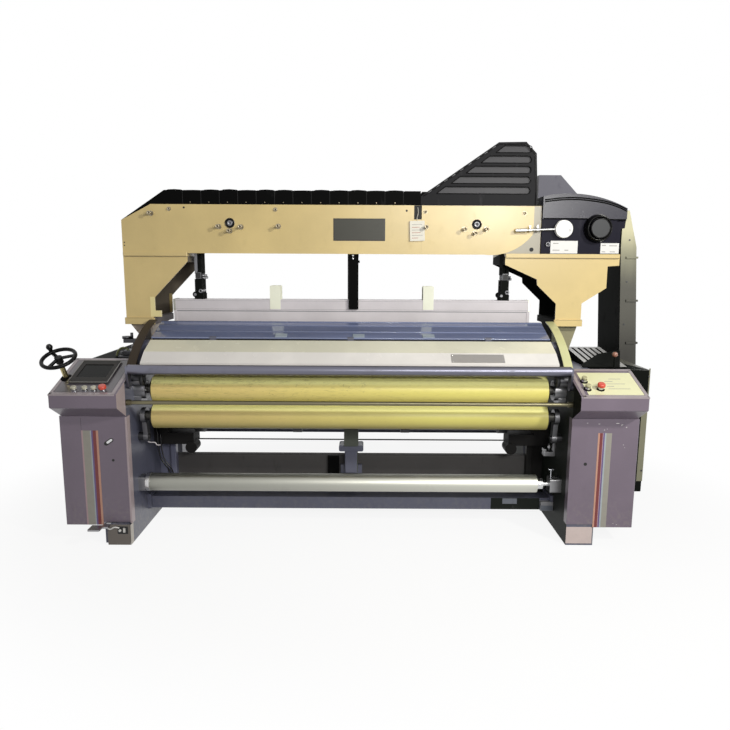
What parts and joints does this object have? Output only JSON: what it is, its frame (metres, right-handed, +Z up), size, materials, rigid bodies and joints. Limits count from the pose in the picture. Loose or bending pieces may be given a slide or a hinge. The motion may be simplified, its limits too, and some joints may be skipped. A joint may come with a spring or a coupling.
{
  "type": "power loom",
  "caption": "Shuttleless power loom with yellow take-up rollers, heald frames under an arch beam, a dobby, control boxes and a handwheel.",
  "frame": {"origin": "centre of the whole loom's footprint, on the floor", "axes": "+X along the loom's width, to the right as the weaver faces it from the front; +Y from the front towards the back; +Z up"},
  "size_m": [3.3339, 1.38, 2.1664],
  "materials": {
    "cream": "satin",
    "purple_grey": "satin",
    "blue_grey": "satin",
    "dark_paint": "satin",
    "casing_grey": "satin",
    "pale_guard": "satin",
    "white_paint": "gloss",
    "frame_metal": "painted",
    "steel": "brushed",
    "chrome": "polished",
    "aluminium": "satin",
    "yellow_cover": "gritty",
    "shield_blue": "clear, tinted blue",
    "black_plastic": "gloss",
    "dobby_black": "satin",
    "pale_plastic": "gloss",
    "red_plastic": "gloss",
    "white_pad": "matt"
  },
  "bodies": {
    "loom": {"side_frame_right": "frame_metal", "side_frame_left": "frame_metal", "front_cross_beam": "blue_grey", "rear_cross_beam": "blue_grey", "middle_beam": "dark_paint", "centre_column": "blue_grey", "shaft_brackets": "dark_paint", "front_cover_right": "purple_grey", "front_cover_left": "purple_grey", "control_box_right": "purple_grey", "control_box_left": "purple_grey", "operator_screen": "black_plastic", "button_collars": "aluminium", "roller_bearings": "steel", "front_tube": "chrome", "guide_bar": "chrome", "breast_cover": "white_paint", "breast_beam": "blue_grey", "side_guards": "pale_guard", "post_left": "cream", "post_right": "cream", "post_feet": "cream", "arch_beam": "cream", "beam_face_left": "cream", "beam_face_right": "cream", "beam_top_cover": "black_plastic", "louvre_cover": "black_plastic", "dobby_housing": "dobby_black", "drive_casing": "casing_grey", "gear_casing": "casing_grey", "tall_guard": "casing_grey"},
    "handwheel": {"handwheel": "black_plastic", "handwheel_shaft": "steel"},
    "handwheel_knob": {"handwheel_knob": "black_plastic"},
    "take_up_roller": {"take_up_roller": "yellow_cover"},
    "press_arms": {"press_arms": "steel"},
    "press_roller": {"press_roller": "yellow_cover"},
    "cloth_roller": {"cloth_roller": "aluminium"},
    "back_rest_roller": {"back_rest_roller": "steel"},
    "sley": {"sley": "steel", "reed": "steel"},
    "heald_frames_odd": {"heald_frames_odd": "aluminium"},
    "heald_frames_even": {"heald_frames_even": "aluminium"},
    "splash_shield": {"splash_shield": "shield_blue"},
    "level_lever": {"level_lever": "pale_plastic"},
    "ball_lever": {"ball_lever": "chrome"},
    "pedal": {"pedal": "steel"},
    "cloth_roller_latch": {"cloth_roller_latch": "chrome"},
    "left_button_1": {"left_button_1": "pale_plastic"},
    "left_button_2": {"left_button_2": "pale_plastic"},
    "left_button_3": {"left_button_3": "pale_plastic"},
    "left_stop_button": {"left_stop_button": "red_plastic"},
    "right_button_1": {"right_button_1": "pale_plastic"},
    "right_button_2": {"right_button_2": "pale_plastic"},
    "right_stop_button": {"right_stop_button": "red_plastic"},
    "lift_levers_left_odd": {"lift_levers_left_odd": "steel"},
    "lift_levers_left_even": {"lift_levers_left_even": "steel"},
    "lift_levers_right_odd": {"lift_levers_right_odd": "steel"},
    "lift_levers_right_even": {"lift_levers_right_even": "steel"}
  },
  "joints": [
    {"name": "handwheel_turn", "type": "hinge", "parent": "loom", "child": "handwheel", "pos_m": [-1.57512, -0.60285, 1.00932], "axis": [-0.0601, -0.4504, 0.8908], "continuous": true},
    {"name": "handwheel_knob_spin", "type": "hinge", "parent": "handwheel", "child": "handwheel_knob", "pos_m": [-1.63502, -0.55927, 1.04977], "axis": [-0.0601, -0.4504, 0.8908], "continuous": true},
    {"name": "take_up_roller_turn", "type": "hinge", "parent": "loom", "child": "take_up_roller", "pos_m": [-0.09743, -0.39, 0.814], "axis": [1, 0, 0], "continuous": true},
    {"name": "press_arms_release", "type": "hinge", "parent": "loom", "child": "press_arms", "pos_m": [-0.09743, -0.39, 0.545], "axis": [1, 0, 0], "range_deg": [0, 5], "stiffness_Nm_per_rad": 6000, "springref_deg": -2.86},
    {"name": "press_roller_turn", "type": "hinge", "parent": "press_arms", "child": "press_roller", "pos_m": [-0.09743, -0.41, 0.66988], "axis": [1, 0, 0], "continuous": true},
    {"name": "cloth_roller_turn", "type": "hinge", "parent": "loom", "child": "cloth_roller", "pos_m": [-0.09743, -0.41, 0.29], "axis": [1, 0, 0], "continuous": true},
    {"name": "back_rest_roller_turn", "type": "hinge", "parent": "loom", "child": "back_rest_roller", "pos_m": [-0.09743, 0.49, 1.005], "axis": [1, 0, 0], "continuous": true},
    {"name": "sley_swing", "type": "hinge", "parent": "loom", "child": "sley", "pos_m": [-0.09743, -0.09, 0.56], "axis": [1, 0, 0], "range_deg": [0, 12]},
    {"name": "left_button_1_press", "type": "slide", "parent": "loom", "child": "left_button_1", "axis": [0, 0.3567, -0.9342], "range_m": [0, 0.004], "stiffness_N_per_m": 400, "springref_m": -0.003},
    {"name": "left_button_2_press", "type": "slide", "parent": "loom", "child": "left_button_2", "axis": [0, 0.3567, -0.9342], "range_m": [0, 0.004], "stiffness_N_per_m": 400, "springref_m": -0.003},
    {"name": "left_button_3_press", "type": "slide", "parent": "loom", "child": "left_button_3", "axis": [0, 0.3567, -0.9342], "range_m": [0, 0.004], "stiffness_N_per_m": 400, "springref_m": -0.003},
    {"name": "left_stop_button_press", "type": "slide", "parent": "loom", "child": "left_stop_button", "axis": [0, 0.3567, -0.9342], "range_m": [0, 0.004], "stiffness_N_per_m": 400, "springref_m": -0.003},
    {"name": "right_button_1_press", "type": "slide", "parent": "loom", "child": "right_button_1", "axis": [0, 0.3567, -0.9342], "range_m": [0, 0.004], "stiffness_N_per_m": 400, "springref_m": -0.003},
    {"name": "right_button_2_press", "type": "slide", "parent": "loom", "child": "right_button_2", "axis": [0, 0.3567, -0.9342], "range_m": [0, 0.004], "stiffness_N_per_m": 400, "springref_m": -0.003},
    {"name": "right_stop_button_press", "type": "slide", "parent": "loom", "child": "right_stop_button", "axis": [0, 0.3567, -0.9342], "range_m": [0, 0.004], "stiffness_N_per_m": 400, "springref_m": -0.003},
    {"name": "heald_frames_odd_lift", "type": "slide", "parent": "loom", "child": "heald_frames_odd", "axis": [0, 0, 1], "range_m": [-0.04, 0.04]},
    {"name": "heald_frames_even_lift", "type": "slide", "parent": "loom", "child": "heald_frames_even", "axis": [0, 0, 1], "range_m": [-0.04, 0.04]},
    {"name": "lift_levers_left_odd_rock", "type": "hinge", "parent": "loom", "child": "lift_levers_left_odd", "pos_m": [-0.87743, -0.076, 1.64], "axis": [0, 1, 0], "range_deg": [-19.5, 19.5]},
    {"name": "lift_levers_left_even_rock", "type": "hinge", "parent": "loom", "child": "lift_levers_left_even", "pos_m": [-0.87743, -0.076, 1.64], "axis": [0, 1, 0], "range_deg": [-19.5, 19.5]},
    {"name": "lift_levers_right_odd_rock", "type": "hinge", "parent": "loom", "child": "lift_levers_right_odd", "pos_m": [0.68257, -0.076, 1.64], "axis": [0, 1, 0], "range_deg": [-19.5, 19.5]},
    {"name": "lift_levers_right_even_rock", "type": "hinge", "parent": "loom", "child": "lift_levers_right_even", "pos_m": [0.68257, -0.076, 1.64], "axis": [0, 1, 0], "range_deg": [-19.5, 19.5]},
    {"name": "splash_shield_lift", "type": "hinge", "parent": "loom", "child": "splash_shield", "pos_m": [-0.09743, -0.306, 1.083], "axis": [1, 0, 0], "range_deg": [0, 85]},
    {"name": "level_lever_turn", "type": "hinge", "parent": "loom", "child": "level_lever", "pos_m": [1.10257, -0.117, 1.691], "axis": [0, 1, 0], "range_deg": [-15, 25]},
    {"name": "ball_lever_swing", "type": "hinge", "parent": "loom", "child": "ball_lever", "pos_m": [1.34817, -0.356, 0.905], "axis": [1, 0, 0], "range_deg": [-20, 20]},
    {"name": "pedal_press", "type": "hinge", "parent": "loom", "child": "pedal", "pos_m": [-1.42743, -0.58, 0.112], "axis": [1, 0, 0], "range_deg": [0, 12], "stiffness_Nm_per_rad": 8, "springref_deg": -6.88},
    {"name": "cloth_roller_latch_turn", "type": "hinge", "parent": "loom", "child": "cloth_roller_latch", "pos_m": [1.01657, -0.41, 0.335], "axis": [0, 0, 1], "range_deg": [0, 90]}
  ],
  "couplings": [
    {"joint": "press_roller_turn", "follows": "take_up_roller_turn", "ratio": -1.0714},
    {"joint": "lift_levers_left_odd_rock", "follows": "heald_frames_odd_lift", "rad_per_m": 8.15},
    {"joint": "lift_levers_left_even_rock", "follows": "heald_frames_even_lift", "rad_per_m": 8.15},
    {"joint": "lift_levers_right_odd_rock", "follows": "heald_frames_odd_lift", "rad_per_m": -8.15},
    {"joint": "lift_levers_right_even_rock", "follows": "heald_frames_even_lift", "rad_per_m": -8.15}
  ]
}
